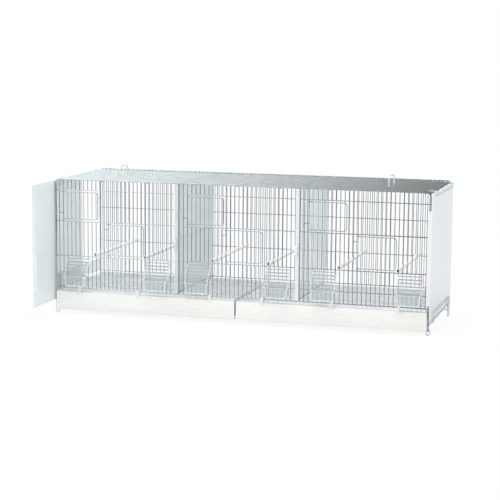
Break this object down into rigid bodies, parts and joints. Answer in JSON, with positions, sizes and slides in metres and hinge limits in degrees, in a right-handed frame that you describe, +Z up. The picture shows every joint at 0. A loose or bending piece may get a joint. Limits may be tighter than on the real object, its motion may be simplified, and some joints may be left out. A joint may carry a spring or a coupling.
{
  "type": "canary breeding cage",
  "caption": "Long wire breeding cage for small birds, with plastic end panels, slide-out trays and dividers, swinging front doors, outside feeders and perches",
  "frame": {"origin": "on the surface the cage stands on, under the middle of the bounding box of the cage at rest (left end panel drawn forward)", "axes": "+X runs along the front from left to right as seen from the front, +Y runs from the front to the back, +Z is up"},
  "size_m": [1.2062, 0.5432, 0.4565],
  "materials": {
    "zinc_wire": "bright zinc plating, slightly blue",
    "white_plastic": "smooth moulded white",
    "tray_plastic": "smooth moulded warm white",
    "panel_plastic": "glossy translucent pale blue-grey",
    "clear_plastic": "clear moulded plastic"
  },
  "bodies": {
    "cage": {"front_frame": "zinc_wire", "back_frame": "zinc_wire", "front_bars": "zinc_wire", "front_rails": "zinc_wire", "back_bars": "zinc_wire", "back_rails": "zinc_wire", "roof_bars": "zinc_wire", "roof_ties": "zinc_wire", "end_ties_left": "zinc_wire", "end_ties_right": "zinc_wire", "base_runners": "zinc_wire", "feet": "zinc_wire", "panel_guide_left": "zinc_wire", "panel_guide_right": "zinc_wire", "seed_strip_left": "white_plastic", "seed_strip_right": "white_plastic", "centre_rail": "zinc_wire", "divider_guides": "zinc_wire", "door_stops": "zinc_wire", "handle_left": "zinc_wire", "handle_right": "zinc_wire", "perch_1": "white_plastic", "perch_2": "white_plastic", "perch_3": "white_plastic", "perch_4": "white_plastic", "perch_5": "white_plastic", "perch_6": "white_plastic", "feeder_cup_1": "clear_plastic", "feeder_cup_2": "clear_plastic", "feeder_cup_3": "clear_plastic", "feeder_cup_4": "clear_plastic", "feeder_cup_5": "clear_plastic", "feeder_cup_6": "clear_plastic"},
    "left_panel": {"side_panel_left": "panel_plastic"},
    "right_panel": {"side_panel_right": "panel_plastic"},
    "left_tray": {"tray_left": "tray_plastic", "tray_clips_left": "white_plastic", "floor_grid_left": "zinc_wire"},
    "right_tray": {"tray_right": "tray_plastic", "tray_clips_right": "white_plastic", "floor_grid_right": "zinc_wire"},
    "solid_divider": {"divider_sheet": "panel_plastic", "divider_sheet_edge": "white_plastic"},
    "wire_divider": {"divider_grid": "zinc_wire", "divider_grid_edge": "white_plastic"},
    "upper_door_1_leaf": {"upper_door_1": "zinc_wire"},
    "upper_door_2_leaf": {"upper_door_2": "zinc_wire"},
    "upper_door_3_leaf": {"upper_door_3": "zinc_wire"},
    "lower_door_1_leaf": {"lower_door_1": "zinc_wire"},
    "lower_door_2_leaf": {"lower_door_2": "zinc_wire"},
    "lower_door_3_leaf": {"lower_door_3": "zinc_wire"},
    "feeder_hood_1_cover": {"feeder_hood_1": "white_plastic"},
    "feeder_hood_2_cover": {"feeder_hood_2": "white_plastic"},
    "feeder_hood_3_cover": {"feeder_hood_3": "white_plastic"},
    "feeder_hood_4_cover": {"feeder_hood_4": "white_plastic"},
    "feeder_hood_5_cover": {"feeder_hood_5": "white_plastic"},
    "feeder_hood_6_cover": {"feeder_hood_6": "white_plastic"}
  },
  "joints": [
    {"name": "left_panel_slide", "type": "slide", "parent": "cage", "child": "left_panel", "axis": [0, -1, 0], "range_m": [-0.16, 0.15]},
    {"name": "right_panel_slide", "type": "slide", "parent": "cage", "child": "right_panel", "axis": [0, -1, 0], "range_m": [0, 0.31]},
    {"name": "left_tray_slide", "type": "slide", "parent": "cage", "child": "left_tray", "axis": [0, -1, 0], "range_m": [0, 0.33]},
    {"name": "right_tray_slide", "type": "slide", "parent": "cage", "child": "right_tray", "axis": [0, -1, 0], "range_m": [0, 0.33]},
    {"name": "solid_divider_slide", "type": "slide", "parent": "cage", "child": "solid_divider", "axis": [0, -1, 0], "range_m": [0, 0.34]},
    {"name": "wire_divider_slide", "type": "slide", "parent": "cage", "child": "wire_divider", "axis": [0, -1, 0], "range_m": [0, 0.34]},
    {"name": "upper_door_1_hinge", "type": "hinge", "parent": "cage", "child": "upper_door_1_leaf", "pos_m": [-0.56855, -0.10283, 0.341], "axis": [0, 0, -1], "range_deg": [0, 95]},
    {"name": "upper_door_2_hinge", "type": "hinge", "parent": "cage", "child": "upper_door_2_leaf", "pos_m": [-0.15755, -0.10283, 0.341], "axis": [0, 0, -1], "range_deg": [0, 95]},
    {"name": "upper_door_3_hinge", "type": "hinge", "parent": "cage", "child": "upper_door_3_leaf", "pos_m": [0.22605, -0.10283, 0.341], "axis": [0, 0, -1], "range_deg": [0, 95]},
    {"name": "lower_door_1_hinge", "type": "hinge", "parent": "cage", "child": "lower_door_1_leaf", "pos_m": [-0.41785, -0.10283, 0.237], "axis": [0, 0, -1], "range_deg": [0, 95]},
    {"name": "lower_door_2_hinge", "type": "hinge", "parent": "cage", "child": "lower_door_2_leaf", "pos_m": [-0.03425, -0.10283, 0.237], "axis": [0, 0, -1], "range_deg": [0, 95]},
    {"name": "lower_door_3_hinge", "type": "hinge", "parent": "cage", "child": "lower_door_3_leaf", "pos_m": [0.37675, -0.10283, 0.237], "axis": [0, 0, -1], "range_deg": [0, 95]},
    {"name": "feeder_hood_1_hinge", "type": "hinge", "parent": "cage", "child": "feeder_hood_1_cover", "pos_m": [-0.519, -0.13335, 0.1185], "axis": [1, 0, 0], "range_deg": [0, 110]},
    {"name": "feeder_hood_2_hinge", "type": "hinge", "parent": "cage", "child": "feeder_hood_2_cover", "pos_m": [-0.252, -0.13335, 0.1185], "axis": [1, 0, 0], "range_deg": [0, 110]},
    {"name": "feeder_hood_3_hinge", "type": "hinge", "parent": "cage", "child": "feeder_hood_3_cover", "pos_m": [-0.12, -0.13335, 0.1185], "axis": [1, 0, 0], "range_deg": [0, 110]},
    {"name": "feeder_hood_4_hinge", "type": "hinge", "parent": "cage", "child": "feeder_hood_4_cover", "pos_m": [0.133, -0.13335, 0.1185], "axis": [1, 0, 0], "range_deg": [0, 110]},
    {"name": "feeder_hood_5_hinge", "type": "hinge", "parent": "cage", "child": "feeder_hood_5_cover", "pos_m": [0.277, -0.13335, 0.1185], "axis": [1, 0, 0], "range_deg": [0, 110]},
    {"name": "feeder_hood_6_hinge", "type": "hinge", "parent": "cage", "child": "feeder_hood_6_cover", "pos_m": [0.537, -0.13335, 0.1185], "axis": [1, 0, 0], "range_deg": [0, 110]}
  ]
}
